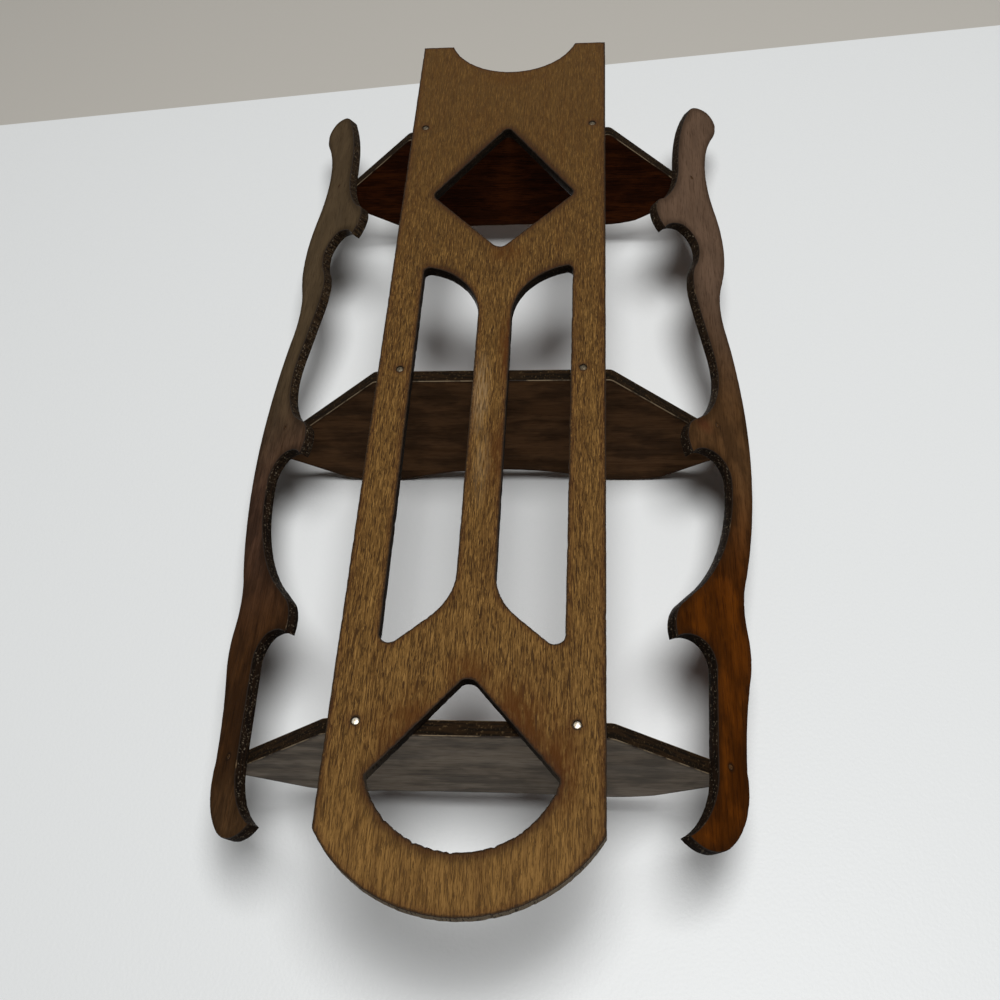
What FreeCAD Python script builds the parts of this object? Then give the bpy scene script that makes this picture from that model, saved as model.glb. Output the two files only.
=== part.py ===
import FreeCAD, Part
import math
import os

# Three-tier wall shelf: a pierced back panel, shelves with slanted ends and scroll-sawn uprights, all glued
# and nailed. Millimetres. X runs across, -Y comes off the wall, Z is up.
# The origin is on the wall face, on the centre line, level with the middle of the middle shelf.

# Back panel
panel_width = 96.0
panel_height = 448.0
panel_thickness = 4.8
panel_head = 66.5            # top edge above the middle of the top shelf
panel_tail = 64.5            # lowest point below the middle of the bottom shelf
foot_bow = 27.0              # rise of the bowed foot, from its middle to the sides

# Openings of the back panel, each at its height from the middle of the shelf that crosses or tops it
notch_width = 64.0
notch_depth = 23.0
diamond_width = 67.0
diamond_apex = -1.5
diamond_corner = -50.5
diamond_foot = -87.5
diamond_apex_radius = 2.0
diamond_corner_radius = 3.5
diamond_foot_radius = 4.0
stem_width = 15.0
rail_width = 14.8
window_top_radius = 30.0
window_spring = 30.5         # where the round window top leaves the stem
window_splay = -110.0        # where the splayed window foot leaves the stem
window_foot = -128.1
window_splay_foot = 28.2     # centre line to the lower end of the splay
window_splay_radius = 24.0
window_corner_radius = 2.5   # where the round top meets the rail
window_foot_radius = 3.3
cutout_width = 65.2
cutout_apex = 18.2
cutout_corner = -19.5
cutout_foot = -43.9
cutout_apex_radius = 4.0
cutout_corner_radius = 2.0

# Shelves
shelf_thickness = 6.0
shelf_overhang = 2.3         # back edge past the panel, each side
shelf_back_radius = 4.0
shelf_front_radius = 1.5
end_slant = 41.4             # angle of the shelf ends to the back panel, degrees
nose_half = 14.0             # half the length of each rounded nose of a front edge
nose_inner_fall = 0.7
nose_outer_fall = 2.4

# Each shelf's own outline: slanted end, reach from the wall, place of the nose, hollow of the front edge
top_end_length = 58.8
top_reach = 63.4
top_nose = 50.0
top_hollow = 1.0
middle_end_length = 75.8
middle_reach = 77.0
middle_nose = 60.0
middle_hollow = 8.3
bottom_end_length = 58.8
bottom_reach = 61.0
bottom_nose = 52.0
bottom_hollow = 1.5

# Uprights
upright_thickness = 4.8

# The scroll of an upright, as arcs from point to point. A point is its run along the slanted shelf end
# and its height above the shelf named with it, drawn for one spacing of the shelves and stretched to theirs.
# Each stretch gives the middle point of its arc, or None where it is straight, and its end point.
scroll_spacing = 158.5
scroll_start = (52.3, "top", 54.0)
scroll = [
    # head, neck and the swell at the first hook
    ((59.0, "top", 63.2), (67.3, "top", 66.0)),
    ((71.9, "top", 63.4), (73.4, "top", 57.0)),
    ((72.8, "top", 52.3), (71.2, "top", 47.8)),
    ((63.0, "top", 19.0), (67.2, "top", -14.0)),
    ((72.3, "top", -41.0), (68.8, "top", -65.5)),
    ((66.2, "top", -79.5), (69.1, "top", -99.5)),
    # long belly past the middle shelf, and the waist under it
    ((78.2, "middle", -3.0), (69.4, "middle", -72.5)),
    ((66.4, "middle", -86.0), (67.0, "bottom", 59.5)),
    # swell at the third hook, and the foot
    ((68.0, "bottom", 49.0), (66.0, "bottom", 36.5)),
    ((62.4, "bottom", 17.5), (60.8, "bottom", 0.0)),
    ((58.4, "bottom", -18.0), (52.0, "bottom", -27.5)),
    ((41.3, "bottom", -33.0), (29.3, "bottom", -30.0)),
    # toe and the straight inner side of the foot
    ((41.0, "bottom", -18.0), (45.3, "bottom", -2.0)),
    (None, (47.8, "bottom", 37.5)),
    # third hook
    ((45.4, "bottom", 44.5), (39.1, "bottom", 47.6)),
    ((33.0, "bottom", 46.7), (27.8, "bottom", 43.9)),
    ((27.0, "bottom", 51.0), (31.3, "bottom", 60.0)),
    (None, (42.3, "bottom", 71.5)),
    # second hook, under the middle shelf
    ((57.8, "middle", -61.0), (64.1, "middle", -27.0)),
    ((61.1, "middle", -19.4), (53.8, "middle", -16.4)),
    ((47.3, "middle", -18.0), (41.7, "middle", -22.8)),
    ((39.0, "middle", -14.0), (42.4, "middle", -5.0)),
    (None, (51.5, "middle", 3.3)),
    ((60.4, "middle", 26.0), (58.4, "middle", 43.0)),
    # first hook, under the top shelf
    (None, (50.2, "top", -89.0)),
    ((48.6, "top", -82.3), (48.1, "top", -75.5)),
    ((49.0, "top", -68.3), (51.7, "top", -61.5)),
    ((53.1, "top", -56.4), (53.6, "top", -51.1)),
    ((50.7, "top", -44.2), (43.8, "top", -41.3)),
    ((37.1, "top", -44.6), (31.0, "top", -51.9)),
    ((25.4, "top", -43.5), (30.5, "top", -31.0)),
    ((38.6, "top", -16.0), (42.2, "top", 4.0)),
    ((45.8, "top", 33.5), scroll_start),
]

# Panel nails, flush in the wall face, and brads, flush in the uprights
top_nail_inset = 6.5         # from the panel's side edge
middle_nail_inset = 9.5
bottom_nail_inset = 10.0
nail_length = 25.0
nail_radius = 0.8
nail_head_radius = 1.5
nail_head_height = 0.8
nail_point = 2.0
top_brad_run = 51.8          # along the slanted end
middle_brad_run = 57.8
bottom_brad_run = 51.8
brad_length = 17.0
brad_radius = 0.6
brad_head_radius = 1.0
brad_head_height = 0.8
brad_point = 1.5
drive_room = 0.05            # radial room round a driven nail or brad
blind_room = 0.3             # room past its point

# Values worked out from the dimensions above
half_panel = panel_width / 2
shelf_back = half_panel + shelf_overhang
slant = math.radians(end_slant)
along_x, along_y = math.cos(slant), -math.sin(slant)
shelf_pitch = (panel_height - panel_head - panel_tail) / 2
shelf_height = {"top": shelf_pitch, "middle": 0.0, "bottom": -shelf_pitch}
panel_top = shelf_pitch + panel_head
panel_foot = panel_top - panel_height
side_foot = panel_foot + foot_bow
UP = FreeCAD.Vector(0, 0, 1)
TO_FRONT = FreeCAD.Vector(0, -1, 0)
INTO_END = FreeCAD.Vector(along_y, -along_x, 0)


def on_panel(x, height, level="middle"):
    """Point on the wall face, at a height above the middle of a shelf."""
    return FreeCAD.Vector(x, 0, shelf_height[level] + height)


def on_end(run, height, out=0.0):
    """Point on the plane of the right-hand shelf ends, or out from it towards the wall."""
    x = shelf_back + along_x * run - INTO_END.x * out
    y = -panel_thickness + along_y * run - INTO_END.y * out
    return FreeCAD.Vector(x, y, height)


def outline_face(start, stretches):
    """Flat face inside a closed outline of lines and three-point arcs."""
    edges = []
    here = start
    for middle, end in stretches:
        if middle is None:
            edges.append(Part.LineSegment(here, end).toShape())
        else:
            edges.append(Part.Arc(here, middle, end).toShape())
        here = end
    return Part.Face(Part.Wire(edges))


def round_corners(solid, direction, corners):
    """Round the edges that run along a direction through the given points, each with its own radius."""
    for point, radius in corners:
        found = [
            edge for edge in solid.Edges
            if len(edge.Vertexes) == 2
            and all((v.Point - point).cross(direction).Length < 0.01 for v in edge.Vertexes)
        ]
        solid = solid.makeFillet(radius, found)
    return solid


def through_panel(face):
    """Cutter that passes through the panel's whole thickness."""
    cutter = face.extrude(TO_FRONT * (3 * panel_thickness))
    cutter.translate(TO_FRONT * -panel_thickness)
    return cutter


def mirrored(shape):
    return shape.mirror(FreeCAD.Vector(0, 0, 0), FreeCAD.Vector(1, 0, 0))


def diamond_opening():
    apex = on_panel(0, diamond_apex, "top")
    right = on_panel(diamond_width / 2, diamond_corner, "top")
    foot = on_panel(0, diamond_foot, "top")
    left = on_panel(-diamond_width / 2, diamond_corner, "top")
    face = outline_face(apex, [(None, right), (None, foot), (None, left), (None, apex)])
    return round_corners(through_panel(face), TO_FRONT, [
        (apex, diamond_apex_radius),
        (right, diamond_corner_radius),
        (foot, diamond_foot_radius),
        (left, diamond_corner_radius),
    ])


def window_opening():
    """Right-hand window: round top, straight sides, splayed foot."""
    inner = stem_width / 2
    outer = half_panel - rail_width
    centre_x = inner + window_top_radius
    foot_radius = min(window_foot_radius, 0.66 * (outer - window_splay_foot))

    def on_round_top(x):
        rise = math.sqrt(window_top_radius ** 2 - (centre_x - x) ** 2)
        return on_panel(x, window_spring + rise)

    spring = on_panel(inner, window_spring)
    crown = on_round_top(outer)
    heel = on_panel(outer, window_foot)
    toe = on_panel(window_splay_foot, window_foot)
    splay = on_panel(inner, window_splay)
    face = outline_face(spring, [
        (on_round_top((inner + outer) / 2), crown),
        (None, heel),
        (None, toe),
        (None, splay),
        (None, spring),
    ])
    return round_corners(through_panel(face), TO_FRONT, [
        (crown, window_corner_radius),
        (heel, foot_radius),
        (toe, foot_radius),
        (splay, window_splay_radius),
    ])


def lower_opening():
    apex = on_panel(0, cutout_apex, "bottom")
    right = on_panel(cutout_width / 2, cutout_corner, "bottom")
    foot = on_panel(0, cutout_foot, "bottom")
    left = on_panel(-cutout_width / 2, cutout_corner, "bottom")
    face = outline_face(apex, [(None, right), (foot, left), (None, apex)])
    return round_corners(through_panel(face), TO_FRONT, [
        (apex, cutout_apex_radius),
        (right, cutout_corner_radius),
        (left, cutout_corner_radius),
    ])


def back_panel():
    horn = on_panel(notch_width / 2, panel_top)
    face = outline_face(horn, [
        (None, on_panel(half_panel, panel_top)),
        (None, on_panel(half_panel, side_foot)),
        (on_panel(0, panel_foot), on_panel(-half_panel, side_foot)),
        (None, on_panel(-half_panel, panel_top)),
        (None, on_panel(-notch_width / 2, panel_top)),
        (on_panel(0, panel_top - notch_depth), horn),
    ])
    panel = face.extrude(TO_FRONT * panel_thickness)
    window = window_opening()
    for opening in (diamond_opening(), window, mirrored(window), lower_opening()):
        panel = panel.cut(opening)
    return panel


def shelf(height, end_length, reach, nose, hollow):
    low = height - shelf_thickness / 2

    def on_shelf(x, depth):
        return FreeCAD.Vector(x, -depth, low)

    def both(x, depth):
        return on_shelf(x, depth), on_shelf(-x, depth)

    back_right, back_left = both(shelf_back, panel_thickness)
    corner = on_end(end_length, low)
    front_right, front_left = both(corner.x, -corner.y)
    outer_right, outer_left = both(nose + nose_half, reach - nose_outer_fall)
    tip_right, tip_left = both(nose, reach)
    inner_right, inner_left = both(nose - nose_half, reach - nose_inner_fall)
    face = outline_face(back_left, [
        (None, back_right),
        (None, front_right),
        (None, outer_right),
        (tip_right, inner_right),
        (on_shelf(0, reach - hollow), inner_left),
        (tip_left, outer_left),
        (None, front_left),
        (None, back_left),
    ])
    board = face.extrude(UP * shelf_thickness)
    return round_corners(board, UP, [
        (back_right, shelf_back_radius),
        (back_left, shelf_back_radius),
        (front_right, shelf_front_radius),
        (front_left, shelf_front_radius),
    ])


def upright():
    """Right-hand upright, flat on the shelf ends."""
    def place(point):
        if point is None:
            return None
        run, level, rise = point
        return on_end(run, shelf_height[level] + rise * shelf_pitch / scroll_spacing)

    stretches = [(place(middle), place(end)) for middle, end in scroll]
    face = outline_face(place(scroll_start), stretches)
    return face.extrude(INTO_END * -upright_thickness)


def driven_pin(head, direction, length, radius, head_radius, head_height, point):
    """Nail or brad with a flat head and a conical point, its head's outer face at the given place."""
    shank = length - point
    pin = Part.makeCylinder(head_radius, head_height, head, direction)
    pin = pin.fuse(Part.makeCylinder(radius, shank, head, direction))
    pin = pin.fuse(Part.makeCone(radius, radius / 4, point, head + direction * shank, direction))
    return pin.removeSplitter()


def nail(head, room=0.0, past=0.0):
    return driven_pin(head, TO_FRONT, nail_length + past, nail_radius + room, nail_head_radius + room,
                      nail_head_height, nail_point)


def brad(head, room=0.0, past=0.0):
    return driven_pin(head, INTO_END, brad_length + past, brad_radius + room, brad_head_radius + room,
                      brad_head_height, brad_point)


def bored(board, holes):
    for hole in holes:
        board = board.cut(hole)
    return board


def main():
    shelf_sizes = {
        "top": (top_end_length, top_reach, top_nose, top_hollow),
        "middle": (middle_end_length, middle_reach, middle_nose, middle_hollow),
        "bottom": (bottom_end_length, bottom_reach, bottom_nose, bottom_hollow),
    }
    nail_inset = {"top": top_nail_inset, "middle": middle_nail_inset, "bottom": bottom_nail_inset}
    brad_run = {"top": top_brad_run, "middle": middle_brad_run, "bottom": bottom_brad_run}

    nodes = {}
    nail_holes = []
    brads = []
    brad_holes = []
    for level, height in shelf_height.items():
        nail_head = FreeCAD.Vector(half_panel - nail_inset[level], 0, height)
        brad_head = on_end(brad_run[level], height, upright_thickness)
        right_nail = nail(nail_head)
        right_hole = nail(nail_head, drive_room, blind_room)
        own_nail_holes = [right_hole, mirrored(right_hole)]
        own_brad_hole = brad(brad_head, drive_room, blind_room)
        own_brad_holes = [own_brad_hole, mirrored(own_brad_hole)]
        board = shelf(height, *shelf_sizes[level])
        nodes[level + "_shelf"] = bored(board, own_nail_holes + own_brad_holes)
        nodes[level + "_shelf_nails"] = Part.makeCompound([right_nail, mirrored(right_nail)])
        nail_holes += own_nail_holes
        brads.append(brad(brad_head))
        brad_holes.append(own_brad_hole)

    nodes["back_panel"] = bored(back_panel(), nail_holes)
    right_upright = bored(upright(), brad_holes)
    nodes["right_upright"] = right_upright
    nodes["left_upright"] = mirrored(right_upright)
    nodes["right_upright_brads"] = Part.makeCompound(brads)
    nodes["left_upright_brads"] = Part.makeCompound([mirrored(pin) for pin in brads])

    os.makedirs("parts", exist_ok=True)
    for name, shape in nodes.items():
        shape.exportStep("parts/" + name + ".step")


main()
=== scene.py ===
import math

import bmesh
import bpy
from mathutils import Matrix, Vector, kdtree, noise


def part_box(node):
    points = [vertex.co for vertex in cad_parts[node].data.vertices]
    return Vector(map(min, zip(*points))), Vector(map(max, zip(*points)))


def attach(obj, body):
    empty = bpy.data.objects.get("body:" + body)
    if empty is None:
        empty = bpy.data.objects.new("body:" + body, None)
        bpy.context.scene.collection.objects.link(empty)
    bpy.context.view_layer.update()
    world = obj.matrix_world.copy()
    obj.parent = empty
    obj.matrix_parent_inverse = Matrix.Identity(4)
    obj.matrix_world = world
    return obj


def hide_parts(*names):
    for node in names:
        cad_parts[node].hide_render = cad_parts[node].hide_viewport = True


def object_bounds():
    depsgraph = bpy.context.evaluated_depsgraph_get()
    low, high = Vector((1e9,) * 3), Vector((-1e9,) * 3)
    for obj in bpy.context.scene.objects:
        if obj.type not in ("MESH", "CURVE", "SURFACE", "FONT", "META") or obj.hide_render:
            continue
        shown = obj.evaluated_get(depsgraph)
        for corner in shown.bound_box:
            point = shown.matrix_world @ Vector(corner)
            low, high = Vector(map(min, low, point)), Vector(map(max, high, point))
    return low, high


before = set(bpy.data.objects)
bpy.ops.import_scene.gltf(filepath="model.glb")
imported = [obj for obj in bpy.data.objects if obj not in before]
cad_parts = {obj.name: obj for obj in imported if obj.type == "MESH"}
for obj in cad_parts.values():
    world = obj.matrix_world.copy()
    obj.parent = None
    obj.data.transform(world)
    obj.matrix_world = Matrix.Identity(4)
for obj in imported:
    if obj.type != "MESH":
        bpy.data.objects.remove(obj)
cad_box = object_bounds()

# Three-tier wall shelf. X runs across, -Y comes off the wall, Z is up. Sizes are in millimetres, times MM.
MM = 0.001
SLANT = math.radians(41.4)               # shelf ends to the back panel
SHELF_BACK = Vector((50.3, -4.8, 0.0))   # back corner of a shelf, at the panel's front
UPRIGHT_BOARD = 4.8                      # thickness of an upright
ACROSS = Vector((1, 0, 0))
TO_WALL = Vector((0, 1, 0))
UPWARD = Vector((0, 0, 1))
LEVELS = ("top", "middle", "bottom")
SIDES = {"right": 1, "left": -1}

# Nails and brads: radii and lengths. A crown above 0 is a domed head, below 0 a punched one.
NAIL = {"head": 1.5, "head_height": 0.8, "shank": 0.8, "length": 25.0, "point": 2.0, "crown": 0.35}
BRAD = {"head": 1.0, "head_height": 0.8, "shank": 0.6, "length": 17.0, "point": 1.5, "crown": -0.3}
BRAD_RUN = {"top": 51.8, "middle": 57.8, "bottom": 51.8}   # along a shelf end, from the panel
PIN_ROOM = 2.0                           # wood left as it is round a nail or brad


def run_along(side):
    """Direction along a slanted shelf end, from the panel forwards."""
    return Vector((side * math.cos(SLANT), -math.sin(SLANT), 0))


def out_of(side):
    """Direction out of an upright's outer face."""
    return Vector((side * math.sin(SLANT), math.cos(SLANT), 0))


def shelf_height(level):
    low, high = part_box(level + "_shelf")
    return (low.z + high.z) / 2


def nail_place(level, side):
    """Top of a nail's head."""
    low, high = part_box(level + "_shelf_nails")
    return Vector((side * (high.x - NAIL["head"] * MM), high.y, (low.z + high.z) / 2))


def brad_place(level, side):
    """Top of a brad's head, level with an upright's outer face."""
    corner = Vector((side * SHELF_BACK.x, SHELF_BACK.y, 0)) * MM
    place = corner + (run_along(side) * BRAD_RUN[level] + out_of(side) * UPRIGHT_BOARD) * MM
    place.z = shelf_height(level)
    return place


NAIL_LINES = [(nail_place(level, side), TO_WALL) for level in LEVELS for side in SIDES.values()]
BRAD_LINES = [(brad_place(level, side), out_of(side)) for level in LEVELS for side in SIDES.values()]


def near_pin(point, lines=NAIL_LINES + BRAD_LINES):
    """True in or beside a nail or brad hole."""
    return any((point - place).cross(line).length < PIN_ROOM * MM for place, line in lines)


def edit(piece):
    """Open one piece alone for editing."""
    if bpy.context.object and bpy.context.object.mode != "OBJECT":
        bpy.ops.object.mode_set(mode="OBJECT")
    bpy.ops.object.select_all(action="DESELECT")
    piece.select_set(True)
    bpy.context.view_layer.objects.active = piece
    bpy.ops.object.mode_set(mode="EDIT")


def end_edit():
    bpy.ops.object.mode_set(mode="OBJECT")


def pick_faces(piece, wanted):
    bpy.ops.mesh.select_mode(type="FACE")
    bpy.ops.mesh.select_all(action="DESELECT")
    work = bmesh.from_edit_mesh(piece.data)
    for face in work.faces:
        face.select_set(bool(wanted(face)))
    bmesh.update_edit_mesh(piece.data)


def pick_edges(piece, wanted):
    bpy.ops.mesh.select_mode(type="EDGE")
    bpy.ops.mesh.select_all(action="DESELECT")
    work = bmesh.from_edit_mesh(piece.data)
    for edge in work.edges:
        edge.select_set(bool(wanted(edge)))
    bmesh.update_edit_mesh(piece.data)


# Boards: each is a copy of the imported board, its edges eased, its saw lines made uneven
MERGE_GAP = 0.005
FLAT_TURN = math.radians(0.5)            # faces that turn less are made one
SHARP_TURN = math.radians(38)            # edges that turn more are eased
SMOOTH_TURN = math.radians(32)           # edges that turn less are shaded smooth
RIM_STEP = 0.5                           # between the points that mark an arris
SWAY, CHATTER = 0.16, 0.1                # depths of the saw's slow and quick wandering
SWAY_PACE, CHATTER_PACE, TEAR_PACE = 70, 330, 620    # their waves, and those of torn places, to a metre
OUTLINE_LEAN = 0.05                      # points that lean out less lie inside a flat face
FLAT_LEAN, SAWN_LEAN = 0.98, 0.2         # lean of a flat face at least, of a sawn edge at most
FACE, BACK_FACE, SAWN, ARRIS = range(4)


def copy_board(node, name):
    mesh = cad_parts[node].data.copy()
    mesh.name = name
    mesh.materials.clear()
    board = bpy.data.objects.new(name, mesh)
    bpy.context.scene.collection.objects.link(board)
    edit(board)
    bpy.ops.mesh.customdata_custom_splitnormals_clear()
    bpy.ops.mesh.select_all(action="SELECT")
    bpy.ops.mesh.remove_doubles(threshold=MERGE_GAP * MM)
    bpy.ops.mesh.select_all(action="SELECT")
    bpy.ops.mesh.dissolve_limited(angle_limit=FLAT_TURN)
    end_edit()
    return board


def ease_arrises(board, width):
    """Round the sharp edges of a board, all but those of its nail and brad holes."""
    edit(board)
    pick_edges(board, lambda edge: len(edge.link_faces) == 2
               and edge.calc_face_angle(0) > SHARP_TURN
               and not any(near_pin(v.co) for v in edge.verts))
    bpy.ops.mesh.bevel(offset=width * MM, offset_type="OFFSET", segments=2, affect="EDGES",
                       clamp_overlap=False)
    end_edit()


def rule_board(board, direction, spacing):
    """Cut a board's faces along evenly ruled lines."""
    reach = [v.co.dot(direction) for v in board.data.vertices]
    low, high = min(reach), max(reach)
    lines = int((high - low) / (spacing * MM))
    edit(board)
    for line in range(1, lines + 1):
        bpy.ops.mesh.select_all(action="SELECT")
        bpy.ops.mesh.bisect(plane_co=direction * (low + line * spacing * MM), plane_no=direction)
    end_edit()


def waver_saw_line(board, flat, tear, free):
    """Move a board's sawn outline inwards here and there, as a hand-held saw does.

    Tear gives the depth of torn places, and free says where the outline may move.
    """
    edit(board)
    work = bmesh.from_edit_mesh(board.data)
    moves = []
    for vertex in work.verts:
        if near_pin(vertex.co) or not free(vertex.co):
            continue
        out = Vector((0, 0, 0))
        for face in vertex.link_faces:
            out += face.normal - flat * face.normal.dot(flat)
        if out.length < OUTLINE_LEAN:
            continue
        flat_place = vertex.co - flat * vertex.co.dot(flat)
        sway = 0.5 + 0.5 * noise.noise(flat_place * SWAY_PACE)
        chatter = 0.5 + 0.5 * noise.noise(flat_place * CHATTER_PACE + Vector((3, 7, 1)))
        torn = max(0.0, noise.noise(flat_place * TEAR_PACE + Vector((5, 2, 8)))) * tear(vertex.co)
        moves.append((vertex, out.normalized() * -(SWAY * sway + CHATTER * chatter + torn) * MM))
    for vertex, move in moves:
        vertex.co += move
    bmesh.update_edit_mesh(board.data)
    end_edit()


def sort_faces(board, flat):
    """Give each face of a board its finish: one flat side, the other, the sawn edge or the eased arris."""
    for polygon in board.data.polygons:
        lean = polygon.normal.dot(flat)
        if lean > FLAT_LEAN:
            polygon.material_index = FACE
        elif lean < -FLAT_LEAN:
            polygon.material_index = BACK_FACE
        elif abs(lean) < SAWN_LEAN:
            polygon.material_index = SAWN
        else:
            polygon.material_index = ARRIS


def measure_rims(board):
    """Keep each point's distance to the nearest arris, in millimetres."""
    mesh = board.data
    rims = set()
    for polygon in mesh.polygons:
        if polygon.material_index in (SAWN, ARRIS):
            rims.update(v for v in polygon.vertices if not near_pin(mesh.vertices[v].co, BRAD_LINES))
    marks = []
    for edge in mesh.edges:
        a, b = edge.vertices
        if a in rims and b in rims:
            start, end = mesh.vertices[a].co, mesh.vertices[b].co
            steps = max(1, int((end - start).length / (RIM_STEP * MM)))
            marks += [start.lerp(end, step / steps) for step in range(steps + 1)]
    tree = kdtree.KDTree(len(marks))
    for number, mark in enumerate(marks):
        tree.insert(mark, number)
    tree.balance()
    rim = mesh.attributes.new("rim_distance", "FLOAT", "POINT")
    for vertex in mesh.vertices:
        rim.data[vertex.index].value = 0.0 if vertex.index in rims else tree.find(vertex.co)[2] / MM


def make_board(node, name, flat, rulings, arris, tear, free):
    board = copy_board(node, name)
    ease_arrises(board, arris)
    for direction, spacing in rulings:
        rule_board(board, direction, spacing)
    waver_saw_line(board, flat, tear, free)
    sort_faces(board, flat)
    measure_rims(board)
    bpy.ops.object.shade_smooth_by_angle(angle=SMOOTH_TURN)
    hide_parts(node)
    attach(board, "root")
    return board


def all_round(point):
    """The whole outline of a board is free."""
    return True


def shelf_front(point):
    """True on the free front edge of a shelf, which nothing is glued to."""
    behind, clear_of_end = -20 * MM, 2.5 * MM
    beside = abs(point.x) - SHELF_BACK.x * MM
    forward = SHELF_BACK.y * MM - point.y
    return point.y < behind and forward > beside * math.tan(SLANT) + clear_of_end


def small_tear(point):
    return 0.2


def panel_tear(point):
    """The arc at the foot of the lowest opening is torn most."""
    rough = -207 * MM < point.z < -170 * MM and abs(point.x) < 36 * MM
    return 1.0 if rough else 0.3


panel_board = make_board("back_panel", "panel_board", TO_WALL, rulings=((ACROSS, 1.0), (UPWARD, 2.0)),
                         arris=0.2, tear=panel_tear, free=all_round)
shelf_boards = {
    level: make_board(level + "_shelf", level + "_shelf_board", UPWARD,
                      rulings=((ACROSS, 4.0), (TO_WALL, 4.0)),
                      arris=0.3, tear=small_tear, free=shelf_front)
    for level in LEVELS
}
upright_boards = {
    name: make_board(name + "_upright", name + "_upright_board", out_of(side),
                     rulings=((run_along(side), 2.5), (UPWARD, 2.5)),
                     arris=0.3, tear=small_tear, free=all_round)
    for name, side in SIDES.items()
}

# Nails and brads
PIN_SIDES = 24
PIN_TIP = 0.25                           # width of the tip, as a share of the shank's
PIN_RIM = 0.12                           # rounding of the head's rim
PIN_SMOOTH = math.radians(45)
CROWN_STEPS = ((0.3, 0.65), (0.35, 0.35))    # shares of the head's radius stepped in and of the crown's rise


def turn_pin(name, head, head_height, shank, length, point, crown):
    """A nail or brad along -Y, the top of its head at the origin."""
    rim = head_height - max(crown, 0)
    straight = length - head_height - point
    bpy.ops.mesh.primitive_cylinder_add(vertices=PIN_SIDES, radius=head * MM, depth=rim * MM,
                                        end_fill_type="NGON",
                                        location=(0, (rim / 2 - head_height) * MM, 0),
                                        rotation=(math.pi / 2, 0, 0))
    pin = bpy.context.object
    pin.name = name
    bpy.ops.object.transform_apply(location=True, rotation=True, scale=True)
    edit(pin)
    pick_faces(pin, lambda face: face.normal.y < -0.9)
    bpy.ops.mesh.inset(thickness=(head - shank) * MM)
    for run in (straight, point):
        bpy.ops.mesh.extrude_region_move(TRANSFORM_OT_translate={"value": (0, -run * MM, 0)})
    bpy.ops.transform.resize(value=(PIN_TIP, 1, PIN_TIP))
    pick_faces(pin, lambda face: face.normal.y > 0.9)
    for step, rise in CROWN_STEPS:
        bpy.ops.mesh.inset(thickness=step * head * MM)
        bpy.ops.transform.translate(value=(0, rise * crown * MM, 0))
    pick_edges(pin, lambda edge: all(v.co.xz.length > 0.98 * head * MM for v in edge.verts)
               and abs(edge.verts[0].co.y - edge.verts[1].co.y) < 0.01 * MM)
    bpy.ops.mesh.bevel(offset=PIN_RIM * MM, segments=2, affect="EDGES")
    bpy.ops.mesh.select_all(action="SELECT")
    bpy.ops.mesh.normals_make_consistent(inside=False)
    end_edit()
    bpy.ops.object.shade_smooth_by_angle(angle=PIN_SMOOTH)
    return pin


def drive_pins(model, name, places, node):
    """Copies of a pin at their places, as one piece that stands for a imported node."""
    pins = []
    for place, turn in places:
        pin = bpy.data.objects.new(name, model.data.copy())
        pin.data.transform(Matrix.Translation(place) @ Matrix.Rotation(turn, 4, "Z"))
        bpy.context.scene.collection.objects.link(pin)
        pins.append(pin)
    bpy.ops.object.select_all(action="DESELECT")
    for pin in pins:
        pin.select_set(True)
    bpy.context.view_layer.objects.active = pins[0]
    bpy.ops.object.join()
    pins[0].name = pins[0].data.name = name
    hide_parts(node)
    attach(pins[0], "root")
    return pins[0]


nail_model = turn_pin("nail", **NAIL)
brad_model = turn_pin("brad", **BRAD)
nail_pairs = {
    level: drive_pins(nail_model, level + "_shelf_nail_pair",
                      [(nail_place(level, side), 0) for side in SIDES.values()], level + "_shelf_nails")
    for level in LEVELS
}
brad_sets = [
    drive_pins(brad_model, name + "_upright_brad_set",
               [(brad_place(level, side), -side * SLANT) for level in LEVELS], name + "_upright_brads")
    for name, side in SIDES.items()
]
bpy.data.objects.remove(nail_model)
bpy.data.objects.remove(brad_model)


# Finishes
def tone(red, green, blue):
    """Colour as seen on screen, 0 to 255, made linear."""
    def linear(value):
        value /= 255
        return value / 12.92 if value <= 0.04045 else ((value + 0.055) / 1.055) ** 2.4
    return (linear(red), linear(green), linear(blue), 1.0)


def feed(tree, socket, value):
    """Link a socket, or set it where the value is plain."""
    if isinstance(value, bpy.types.NodeSocket):
        tree.links.new(value, socket)
    else:
        socket.default_value = value


def start_finish(name):
    finish = bpy.data.materials.new(name)
    finish.use_nodes = True
    shader = finish.node_tree.nodes["Principled BSDF"]
    return finish, finish.node_tree, shader


def board_place(tree, turn=0.0):
    """Place on a board in millimetres, turned about Z so that its thickness lies along Y."""
    coordinates = tree.nodes.new("ShaderNodeTexCoord")
    mapping = tree.nodes.new("ShaderNodeMapping")
    mapping.inputs["Rotation"].default_value = (0, 0, turn)
    mapping.inputs["Scale"].default_value = (1 / MM, 1 / MM, 1 / MM)
    tree.links.new(coordinates.outputs["Object"], mapping.inputs["Vector"])
    return mapping.outputs["Vector"]


def height_of(tree, place):
    node = tree.nodes.new("ShaderNodeSeparateXYZ")
    tree.links.new(place, node.inputs["Vector"])
    return node.outputs["Z"]


def stretched(tree, place, sizes, shift=(0, 0, 0)):
    """Place measured in units of the given sizes, in millimetres."""
    mapping = tree.nodes.new("ShaderNodeMapping")
    mapping.inputs["Location"].default_value = shift
    mapping.inputs["Scale"].default_value = [1 / size for size in sizes]
    tree.links.new(place, mapping.inputs["Vector"])
    return mapping.outputs["Vector"]


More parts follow.
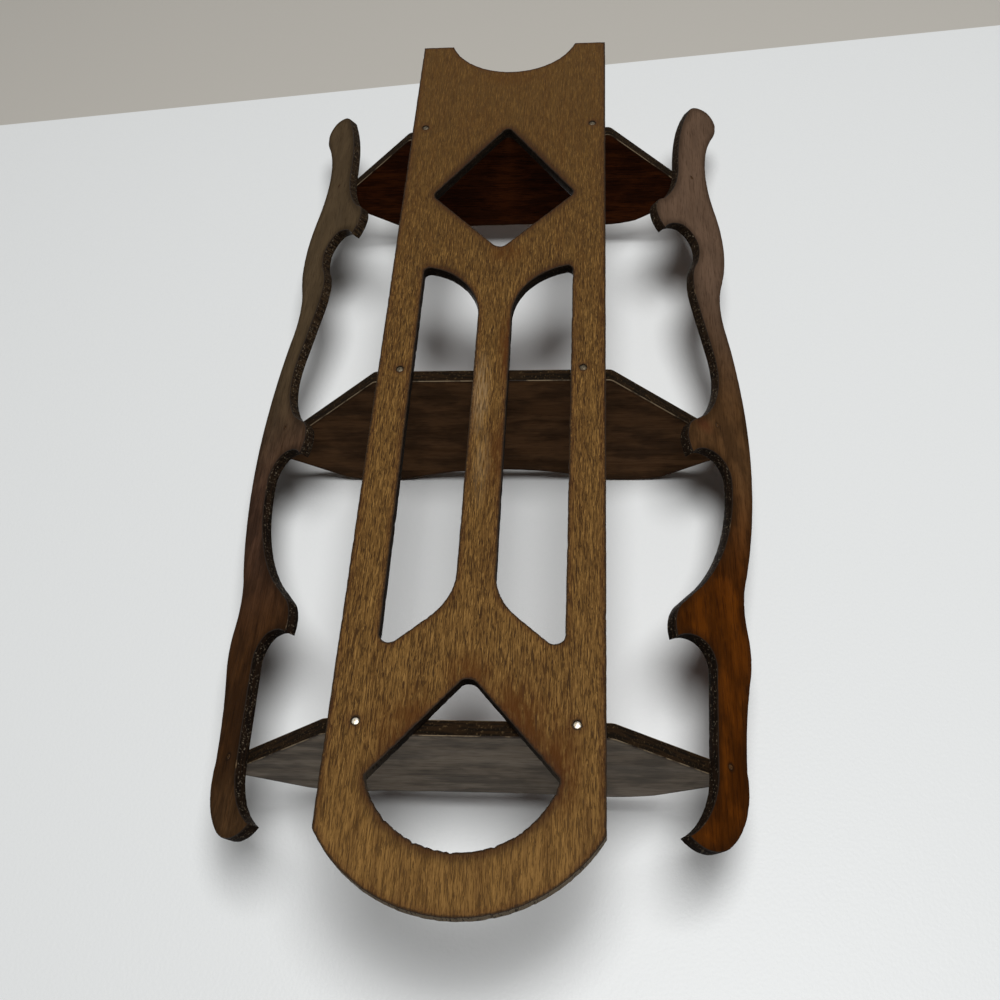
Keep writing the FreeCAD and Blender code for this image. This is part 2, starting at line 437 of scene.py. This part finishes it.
def mottle(tree, place, sizes, detail=3.0, rough=0.6, shift=(0, 0, 0), wander=0.0):
    """Uneven pattern from 0 to 1 whose marks have about the given sizes. Wander bends them."""
    texture = tree.nodes.new("ShaderNodeTexNoise")
    texture.inputs["Scale"].default_value = 1.0
    texture.inputs["Detail"].default_value = detail
    texture.inputs["Roughness"].default_value = rough
    texture.inputs["Distortion"].default_value = wander
    tree.links.new(stretched(tree, place, sizes, shift), texture.inputs["Vector"])
    return texture.outputs["Fac"]


def between(tree, value, low, high):
    """0 at or below low, 1 at or above high, smooth between. Low may be the larger."""
    node = tree.nodes.new("ShaderNodeMapRange")
    node.interpolation_type = "SMOOTHSTEP"
    feed(tree, node.inputs["Value"], value)
    node.inputs["From Min"].default_value = min(low, high)
    node.inputs["From Max"].default_value = max(low, high)
    node.inputs["To Min"].default_value = 0.0 if low < high else 1.0
    node.inputs["To Max"].default_value = 1.0 if low < high else 0.0
    return node.outputs["Result"]


def graded(tree, value, low, high):
    """A pattern from 0 to 1 spread between two values."""
    node = tree.nodes.new("ShaderNodeMapRange")
    tree.links.new(value, node.inputs["Value"])
    node.inputs["To Min"].default_value = low
    node.inputs["To Max"].default_value = high
    return node.outputs["Result"]


def sum_up(tree, operation, first, second):
    node = tree.nodes.new("ShaderNodeMath")
    node.operation = operation
    feed(tree, node.inputs[0], first)
    feed(tree, node.inputs[1], second)
    return node.outputs["Value"]


def times(tree, first, second):
    return sum_up(tree, "MULTIPLY", first, second)


def tint(tree, share, under, over, way="MIX"):
    """One colour laid over another by a share."""
    share_socket, under_socket, over_socket, result_socket = 0, 6, 7, 2
    node = tree.nodes.new("ShaderNodeMix")
    node.data_type = "RGBA"
    node.blend_type = way
    feed(tree, node.inputs[share_socket], share)
    feed(tree, node.inputs[under_socket], under)
    feed(tree, node.inputs[over_socket], over)
    return node.outputs[result_socket]


def tint_marks(tree, pattern, span, share, under, over, way="MIX"):
    """One colour laid over another where a pattern rises, or falls, through a span of values."""
    return tint(tree, times(tree, between(tree, pattern, *span), share), under, over, way)


def rim_of(tree):
    """Distance to the nearest arris, in millimetres."""
    node = tree.nodes.new("ShaderNodeAttribute")
    node.attribute_name = "rim_distance"
    return node.outputs["Fac"]


def ragged_rim(tree, place, size, swing=2.0):
    """Distance to the nearest arris, made uneven."""
    waver = mottle(tree, place, (size, size, size), shift=(6, 3, 8))
    uneven = times(tree, sum_up(tree, "SUBTRACT", waver, 0.5), swing)
    return sum_up(tree, "ADD", rim_of(tree), uneven)


def spots(tree, place, marks):
    """Soft round patches on a face that lies across Y.

    Each has its middle, across and up, its half width, half height and share.
    """
    any_depth, fade = 1000.0, (1.0, 0.15)
    together = None
    for across, height, wide, tall, share in marks:
        shifted = stretched(tree, place, (wide, any_depth, tall), (-across / wide, 0, -height / tall))
        length = tree.nodes.new("ShaderNodeVectorMath")
        length.operation = "LENGTH"
        tree.links.new(shifted, length.inputs[0])
        patch = times(tree, between(tree, length.outputs["Value"], *fade), share)
        together = patch if together is None else sum_up(tree, "MAXIMUM", together, patch)
    return together


def relief(tree, shader, height, depth, strength=1.0):
    node = tree.nodes.new("ShaderNodeBump")
    node.inputs["Strength"].default_value = strength
    node.inputs["Distance"].default_value = depth * MM
    feed(tree, node.inputs["Height"], height)
    tree.links.new(node.outputs["Normal"], shader.inputs["Normal"])


def end_finish(tree, shader, colour, rough, gloss, height, depth, strength):
    """Set a wooden surface's colour, roughness, gloss and relief."""
    feed(tree, shader.inputs["Base Color"], colour)
    feed(tree, shader.inputs["Roughness"], rough)
    shader.inputs["Specular IOR Level"].default_value = gloss
    relief(tree, shader, height, depth, strength)


# Tones of the panel's veneer and the heights between which they change
VENEER = {
    "foot": tone(119, 87, 44),
    "stem": tone(104, 75, 36),
    "head": tone(80, 56, 25),
    "band": tone(78, 52, 22),
    "line": tone(62, 40, 15),
    "fibre": tone(148, 112, 61),
    "pore": tone(40, 23, 8),
    "run": tone(74, 42, 11),
    "rubbed": tone(146, 119, 84),
    "soot": tone(38, 24, 11),
    "warm_rim": tone(64, 34, 16),
    "burnt_rim": tone(34, 24, 14),
}
FOOT_TO_STEM, STEM_TO_HEAD = (-212, -165), (-150, 170)
CALM_HEAD, CALM_FOOT = (190, 10), (-205, -150)

# Where stain ran over the panel's wall face, where its rims are smoky, and where its stem is rubbed pale
STAIN_RUNS = (
    (0, -139, 13, 12, 0.8),
    (-19, -157, 19, 28, 1.0),
    (-31, -174, 13, 24, 1.0),
    (20, -160, 16, 24, 0.8),
    (-6, 12, 5, 30, 1.0),
    (-5, -46, 7, 26, 0.7),
    (-4, 68, 12, 11, 0.7),
    (0, 196, 30, 9, 0.35),
)
SOOT = (
    (0, 122, 60, 66, 0.9),
    (-22, 58, 22, 16, 0.7),
    (22, 58, 22, 16, 0.7),
    (0, -186, 56, 36, 0.9),
)
RUBBED_STEM = (
    (4, -14, 6, 30, 0.75),
    (1, -50, 5, 26, 0.35),
)


def panel_veneer():
    """Wall face of the panel: fine golden-brown veneer, dark along its openings, with a few runs of stain."""
    finish, tree, shader = start_finish("panel_veneer")
    place = board_place(tree)
    height = height_of(tree, place)
    colour = tint(tree, between(tree, height, *FOOT_TO_STEM), VENEER["foot"], VENEER["stem"])
    colour = tint(tree, between(tree, height, *STEM_TO_HEAD), colour, VENEER["head"])

    # Grain, calmer at the head and the foot
    lively = times(tree, graded(tree, between(tree, height, *CALM_HEAD), 0.42, 1.0),
                   graded(tree, between(tree, height, *CALM_FOOT), 0.7, 1.0))
    band = mottle(tree, place, (5, 30, 60), rough=0.55)
    colour = tint_marks(tree, band, (0.38, 0.7), 0.7, colour, VENEER["band"])
    line = mottle(tree, place, (1.1, 10, 30), shift=(7, 0, 5), wander=0.6)
    colour = tint_marks(tree, line, (0.5, 0.68), 0.55, colour, VENEER["line"])
    fibre = mottle(tree, place, (0.42, 10, 6), rough=0.7, shift=(5, 0, 2), wander=0.9)
    colour = tint_marks(tree, fibre, (0.48, 0.64), times(tree, lively, 0.7), colour, VENEER["fibre"])
    pore = mottle(tree, place, (0.5, 10, 6), rough=0.65, shift=(1, 0, 9), wander=1.1)
    pore = between(tree, pore, 0.49, 0.6)
    colour = tint(tree, times(tree, pore, times(tree, lively, 0.85)), colour, VENEER["pore"])

    # Runs of stain, the rubbed stem, and the dark rims
    soak = between(tree, mottle(tree, place, (3, 30, 9), shift=(2, 0, 4)), 0.3, 0.55)
    runs = times(tree, spots(tree, place, STAIN_RUNS), between(tree, rim_of(tree), 20.0, 3.0))
    colour = tint(tree, times(tree, runs, soak), colour, VENEER["run"])
    scratch = mottle(tree, place, (0.5, 10, 8), detail=2.0, shift=(3, 0, 1))
    rubbed = spots(tree, place, RUBBED_STEM)
    colour = tint_marks(tree, scratch, (0.36, 0.62), rubbed, colour, VENEER["rubbed"])
    rim = ragged_rim(tree, place, 1.1)
    colour = tint_marks(tree, rim, (5.5, 0.5), spots(tree, place, SOOT), colour, VENEER["soot"])
    colour = tint_marks(tree, rim, (3.2, 0.4), 0.4, colour, VENEER["warm_rim"])
    colour = tint_marks(tree, rim, (0.9, 0.2), 0.75, colour, VENEER["burnt_rim"])
    end_finish(tree, shader, colour, rough=graded(tree, fibre, 0.5, 0.7), gloss=0.06,
               height=sum_up(tree, "SUBTRACT", fibre, pore), depth=0.1, strength=0.6)
    return finish


STREAK_SHADE = (0.5, 0.45, 0.4, 1.0)
PORE_SHADE = (0.28, 0.24, 0.2, 1.0)
SMEAR_TONE, RING_TONE, BURNT_TONE = tone(84, 36, 20), tone(20, 11, 5), tone(22, 13, 6)
CALM_TO_LIVELY = (110, -70)              # heights between which a calm head's stain gets its full figure


def stained_face(name, turn, grain, figure, stain, gloss, zones=(), smears=(), rings=(), burnt=1.6,
                 calm=1.0):
    """Dark stain over veneer, with a burnt rim.

    Grain gives the sizes of its streaks along the board's own directions, and figure their depth. Zones give
    the tones by height, rings the dark wood round the brads, burnt the width of the rim, and calm the
    share of the figure at the head. On the uprights and the shelf undersides the tones given hold painted
    sheen, and under the top shelf painted shade, as well as the stain.
    """
    finish, tree, shader = start_finish(name)
    place = board_place(tree, turn)
    height = height_of(tree, place)
    lively = graded(tree, between(tree, height, *CALM_TO_LIVELY), calm, 1.0)
    colour = stain
    for low, high, zone_tone in zones:
        colour = tint(tree, between(tree, height, low, high), colour, zone_tone)
    band = mottle(tree, place, [5 * size for size in grain], rough=0.55)
    colour = tint_marks(tree, band, (0.36, 0.72), times(tree, lively, 0.6 * figure), colour, STREAK_SHADE,
                        "MULTIPLY")
    streak = mottle(tree, place, grain, shift=(4, 2, 7))
    colour = tint_marks(tree, streak, (0.46, 0.7), times(tree, lively, 0.7 * figure), colour, STREAK_SHADE,
                        "MULTIPLY")
    pore = mottle(tree, place, [0.5 * size for size in grain], detail=2.0, rough=0.5, shift=(9, 1, 3))
    pore = between(tree, pore, 0.54, 0.68)
    colour = tint(tree, times(tree, pore, 0.7 * figure), colour, PORE_SHADE, "MULTIPLY")
    cloud = mottle(tree, place, [9 + size for size in grain], shift=(3, 8, 5))
    cloud = graded(tree, between(tree, cloud, 0.38, 0.62), 0.68, 1.32)
    colour = tint(tree, lively, colour, cloud, "MULTIPLY")
    if smears:
        colour = tint(tree, spots(tree, place, smears), colour, SMEAR_TONE)
    if rings:
        colour = tint(tree, spots(tree, place, rings), colour, RING_TONE)
    colour = tint_marks(tree, ragged_rim(tree, place, 1.6), (burnt, 0.2), 0.45, colour, BURNT_TONE)
    end_finish(tree, shader, colour, rough=graded(tree, band, 0.6, 0.85), gloss=gloss,
               height=sum_up(tree, "SUBTRACT", streak, pore), depth=0.08, strength=0.5)
    return finish


def sawn_edge(name, turn, across, soaked, ply_tone, fleck_tone, fleck_share, dry=None):
    """Sawn plywood edge, soaked near black with stain: saw marks run across it and its plies just show.

    Dry gives the heights between which the soaked edge turns to a drier one, that one's tone, and the depth
    of saw marks below which it stays soaked.
    """
    finish, tree, shader = start_finish(name)
    place = board_place(tree, turn)

    def lines(across_size, other_size, rough, shift):
        sizes = [other_size] * 3
        sizes["XYZ".index(across)] = across_size
        return mottle(tree, place, sizes, 2.0, rough, shift)

    kerf = lines(5.0, 0.7, 0.6, (0, 0, 0))
    ply = lines(0.8, 9.0, 0.5, (1, 5, 3))
    colour = tint(tree, between(tree, ply, 0.4, 0.62), soaked, ply_tone)
    if dry:
        dry_height = between(tree, height_of(tree, place), *dry["heights"])
        marks = (dry["marks"], dry["marks"] + 0.18)
        colour = tint_marks(tree, kerf, marks, dry_height, colour, dry["tone"])
    fleck = mottle(tree, place, (0.9, 0.9, 0.9), rough=0.7, shift=(8, 8, 2))
    colour = tint_marks(tree, fleck, (0.58, 0.67), fleck_share, colour, fleck_tone)
    end_finish(tree, shader, colour, rough=graded(tree, kerf, 0.75, 0.95), gloss=0.04,
               height=sum_up(tree, "ADD", kerf, fleck), depth=0.15, strength=0.7)
    return finish


def worn_arris(name, turn, wear, bare):
    """Eased edge: dark stain, rubbed to bare wood in places. A smaller wear value means more of it."""
    finish, tree, shader = start_finish(name)
    rub = mottle(tree, board_place(tree, turn), (9, 9, 9), detail=4.0, shift=(2, 4, 6))
    colour = tint(tree, between(tree, rub, wear, wear + 0.16), tone(26, 17, 9), bare)
    end_finish(tree, shader, colour, rough=graded(tree, rub, 0.45, 0.7), gloss=0.1,
               height=rub, depth=0.1, strength=0.5)
    return finish


def pin_steel(name, bright, tarnished, smooth, coarse):
    """Steel of a nail or brad head, tarnished in spots."""
    finish, tree, shader = start_finish(name)
    tarnish = mottle(tree, board_place(tree), (0.7, 0.7, 0.7))
    colour = tint(tree, between(tree, tarnish, 0.42, 0.6), bright, tarnished)
    feed(tree, shader.inputs["Base Color"], colour)
    feed(tree, shader.inputs["Roughness"], graded(tree, tarnish, smooth, coarse))
    shader.inputs["Metallic"].default_value = 1.0
    relief(tree, shader, tarnish, 0.05, 0.5)
    return finish


# Finish of the panel and the shelves. Grain runs up the panel and the uprights and along the shelves.
UP_GRAIN = (0.8, 6.0, 12.0)
SIDE_GRAIN = (14.0, 0.8, 6.0)
SQUARE = 0.0                             # turn of a board that stands square to the wall
panel_front = stained_face("panel_front_stain", SQUARE, UP_GRAIN,
                           figure=1.0, stain=tone(92, 58, 32), gloss=0.12)
panel_edge = sawn_edge("panel_sawn_edge", SQUARE, "Y", soaked=tone(13, 9, 6), ply_tone=tone(26, 18, 11),
                       fleck_tone=tone(90, 79, 63), fleck_share=0.35,
                       dry={"heights": (-165, -205), "tone": tone(112, 99, 82), "marks": 0.3})
panel_arris = worn_arris("panel_arris", SQUARE, wear=0.62, bare=tone(112, 92, 66))
for finish in (panel_veneer(), panel_front, panel_edge, panel_arris):
    panel_board.data.materials.append(finish)

# One stain under all three shelves: the top's darker tone is painted shade, the bottom's paler grey tone
# painted sheen
UNDERSIDES_WITH_PAINTED_LIGHT = {                           # depth of the figure, tone, and gloss
    "top": (1.5, tone(58, 27, 7), 0.02),
    "middle": (0.8, tone(76, 53, 33), 0.03),
    "bottom": (0.8, tone(106, 95, 82), 0.2),
}
shelf_top = stained_face("shelf_top_stain", SQUARE, SIDE_GRAIN,
                         figure=1.3, stain=tone(84, 53, 30), gloss=0.06)
shelf_edge = sawn_edge("shelf_sawn_edge", SQUARE, "Z", soaked=tone(16, 11, 6), ply_tone=tone(34, 23, 12),
                       fleck_tone=tone(96, 78, 52), fleck_share=0.45)
shelf_arris = worn_arris("shelf_arris", SQUARE, wear=0.4, bare=tone(114, 99, 78))
for level, board in shelf_boards.items():
    underside = stained_face(level + "_shelf_underside", SQUARE, SIDE_GRAIN, *UNDERSIDES_WITH_PAINTED_LIGHT[level])
    for finish in (shelf_top, underside, shelf_edge, shelf_arris):
        board.data.materials.append(finish)

# Finish of the uprights: the tone at the head, the tones it turns to by height, smears, and the dry sawn
# edge. The greyer tones, most at the head and on the right upright, are stain with painted sheen; the deep
# red-brown low on the left upright is the stain itself.
UPRIGHTS_WITH_PAINTED_SHEEN = {
    "left": {
        "head": tone(95, 75, 60),
        "zones": ((90, 10, tone(79, 55, 32)), (-10, -90, tone(77, 39, 5))),
        "smears": ((-90, -4, 8, 6, 0.3),),
        "dry": tone(36, 26, 16),
    },
    "right": {
        "head": tone(82, 67, 48),
        "zones": ((40, -40, tone(75, 53, 40)), (-40, -120, tone(62, 38, 17)), (-150, -190, tone(80, 57, 34))),
        "smears": (),
        "dry": tone(50, 38, 25),
    },
}
RING_SIZE = 2.8                          # dark wood round a brad
RING_SHARE = {"top": 0.25, "middle": 0.5, "bottom": 1.0}
for name, side in SIDES.items():
    upright, turn = UPRIGHTS_WITH_PAINTED_SHEEN[name], side * SLANT
    brads = {level: Matrix.Rotation(turn, 3, "Z") @ brad_place(level, side) / MM for level in LEVELS}
    rings = [(brad.x, brad.z, RING_SIZE, RING_SIZE, RING_SHARE[level]) for level, brad in brads.items()]
    # the head and zone tones hold painted sheen as well as stain
    stain = stained_face(name + "_upright_stain_and_painted_sheen", turn, UP_GRAIN,
                         figure=0.8, stain=upright["head"], gloss=0.015, zones=upright["zones"],
                         smears=upright["smears"], rings=rings, burnt=4.0, calm=0.3)
    edge = sawn_edge(name + "_upright_sawn_edge", turn, "Y", soaked=tone(13, 8, 5), ply_tone=tone(28, 18, 10),
                     fleck_tone=tone(150, 136, 114), fleck_share=0.42,
                     dry={"heights": (-60, 40), "tone": upright["dry"], "marks": 0.44})
    arris = worn_arris(name + "_upright_arris", turn, wear=0.6, bare=tone(104, 84, 60))
    for finish in (stain, stain, edge, arris):
        upright_boards[name].data.materials.append(finish)

# Finish of the nails and brads
dull_nail = pin_steel("dull_nail_steel", bright=tone(92, 85, 72), tarnished=tone(64, 54, 41),
                      smooth=0.5, coarse=0.7)
bright_nail = pin_steel("bright_nail_steel", bright=tone(214, 208, 196), tarnished=tone(150, 136, 112),
                        smooth=0.25, coarse=0.5)
brad_finish = pin_steel("brad_steel", bright=tone(80, 56, 33), tarnished=tone(50, 34, 18),
                        smooth=0.6, coarse=0.8)
for level, pins in nail_pairs.items():
    pins.data.materials.clear()
    pins.data.materials.append(bright_nail if level == "bottom" else dull_nail)
for pins in brad_sets:
    pins.data.materials.clear()
    pins.data.materials.append(brad_finish)

# Stage: the shelf lies on its front on a white table, seen from behind and below
TABLE_LEVEL = cad_box[0][1] - 0.1 * MM
TABLE_SIZE = 4.0
TABLE_FAR = 0.311                        # far edge of the table on the centre line
TABLE_PLACE = (0, TABLE_LEVEL, TABLE_FAR - TABLE_SIZE / 2)
TABLE_SKEW = math.radians(6.3)
TABLE_GRAINS = 700.0                     # fineness of the table's surface
FLOOR_SIZE, FLOOR_PLACE = 8.0, (0, -0.15, 1.5)
WALL_SIZE, WALL_PLACE = 6.0, (0, 0.0006, 0)
FACING_WALL, FACING_ROOM = (-math.pi / 2, 0, 0), (math.pi / 2, 0, 0)


def one_sided(name, colour, rough, bumps=0.0):
    """Plain surface that is seen only from its front."""
    finish, tree, shader = start_finish(name)
    shader.inputs["Base Color"].default_value = colour
    shader.inputs["Roughness"].default_value = rough
    shader.inputs["Specular IOR Level"].default_value = 0.25
    if bumps:
        coordinates = tree.nodes.new("ShaderNodeTexCoord")
        grains = tree.nodes.new("ShaderNodeTexNoise")
        grains.inputs["Scale"].default_value = TABLE_GRAINS
        grains.inputs["Detail"].default_value = 2.0
        tree.links.new(coordinates.outputs["Object"], grains.inputs["Vector"])
        relief(tree, shader, grains.outputs["Fac"], bumps)
    facing = tree.nodes.new("ShaderNodeNewGeometry")
    clear = tree.nodes.new("ShaderNodeBsdfTransparent")
    choice = tree.nodes.new("ShaderNodeMixShader")
    tree.links.new(facing.outputs["Backfacing"], choice.inputs["Fac"])
    tree.links.new(shader.outputs["BSDF"], choice.inputs[1])
    tree.links.new(clear.outputs["BSDF"], choice.inputs[2])
    tree.links.new(choice.outputs["Shader"], tree.nodes["Material Output"].inputs["Surface"])
    return finish


def stage_sheet(name, size, place, turn, finish):
    bpy.ops.mesh.primitive_plane_add(size=size, location=place, rotation=turn)
    sheet = bpy.context.object
    sheet.name = name
    bpy.ops.object.transform_apply(location=True, rotation=True, scale=True)
    sheet.data.materials.append(finish)
    sheet.visible_shadow = False
    return sheet


table_white = one_sided("table_white", tone(222, 224, 224), rough=0.4, bumps=0.1)
floor_grey = one_sided("floor_grey", tone(190, 186, 178), rough=0.8)
wall_white = one_sided("wall_white", tone(226, 226, 224), rough=0.8)
table = stage_sheet("table", TABLE_SIZE, TABLE_PLACE, FACING_WALL, table_white)
table.data.transform(Matrix.Translation((0, 0, TABLE_FAR)) @ Matrix.Rotation(TABLE_SKEW, 4, "Y")
                     @ Matrix.Translation((0, 0, -TABLE_FAR)))
stage_sheet("far_floor", FLOOR_SIZE, FLOOR_PLACE, FACING_WALL, floor_grey)
wall = stage_sheet("wall", WALL_SIZE, WALL_PLACE, FACING_ROOM, wall_white)
wall.visible_diffuse = False
wall.visible_glossy = False
wall.visible_transmission = False

# Camera
CAMERA_PLACE = Vector((-0.04588, 0.35931, -0.31231))
CAMERA_RIGHT = Vector((-0.99611, -0.07269, 0.05051))
CAMERA_UP = Vector((0.00069, 0.56412, 0.82573))
scene = bpy.context.scene
lens = bpy.data.cameras.new("camera")
lens.sensor_width = 36.0
lens.lens = 40.891
lens.clip_start = 0.01
camera = bpy.data.objects.new("camera", lens)
scene.collection.objects.link(camera)
camera_axes = Matrix((CAMERA_RIGHT, CAMERA_UP, CAMERA_RIGHT.cross(CAMERA_UP))).transposed()
camera.matrix_world = Matrix.Translation(CAMERA_PLACE) @ camera_axes.to_4x4()
scene.camera = camera


# Light
def soft_lamp(name, place, size, power):
    """Round lamp that points at the middle of the shelf."""
    data = bpy.data.lights.new(name, "AREA")
    data.shape = "DISK"
    data.size = size
    data.energy = power
    lamp = bpy.data.objects.new(name, data)
    lamp.location = place
    lamp.rotation_euler = (-Vector(place)).to_track_quat("-Z", "Y").to_euler()
    scene.collection.objects.link(lamp)


soft_lamp("lamp_over_table", place=(-0.22, 1.8, -0.12), size=1.1, power=37.6)
soft_lamp("lamp_before_wall", place=(0.5, -1.1, 0.9), size=0.7, power=12.0)

# Room: a faint light all round, which looks pale where it is seen
world = bpy.data.worlds.new("room")
world.use_nodes = True
scene.world = world
room = world.node_tree
room_light = room.nodes["Background"]
room_light.inputs["Color"].default_value = (1.0, 1.0, 1.0, 1.0)
room_light.inputs["Strength"].default_value = 0.03
pale = room.nodes.new("ShaderNodeBackground")
pale.inputs["Color"].default_value = (0.9, 0.9, 0.89, 1.0)
pale.inputs["Strength"].default_value = 0.9
path = room.nodes.new("ShaderNodeLightPath")
seen = sum_up(room, "MAXIMUM", path.outputs["Is Camera Ray"], path.outputs["Is Glossy Ray"])
seen = sum_up(room, "MAXIMUM", seen, path.outputs["Is Transmission Ray"])
choice = room.nodes.new("ShaderNodeMixShader")
room.links.new(seen, choice.inputs["Fac"])
room.links.new(room_light.outputs["Background"], choice.inputs[1])
room.links.new(pale.outputs["Background"], choice.inputs[2])
room.links.new(choice.outputs["Shader"], room.nodes["World Output"].inputs["Surface"])

scene.view_settings.view_transform = "Standard"
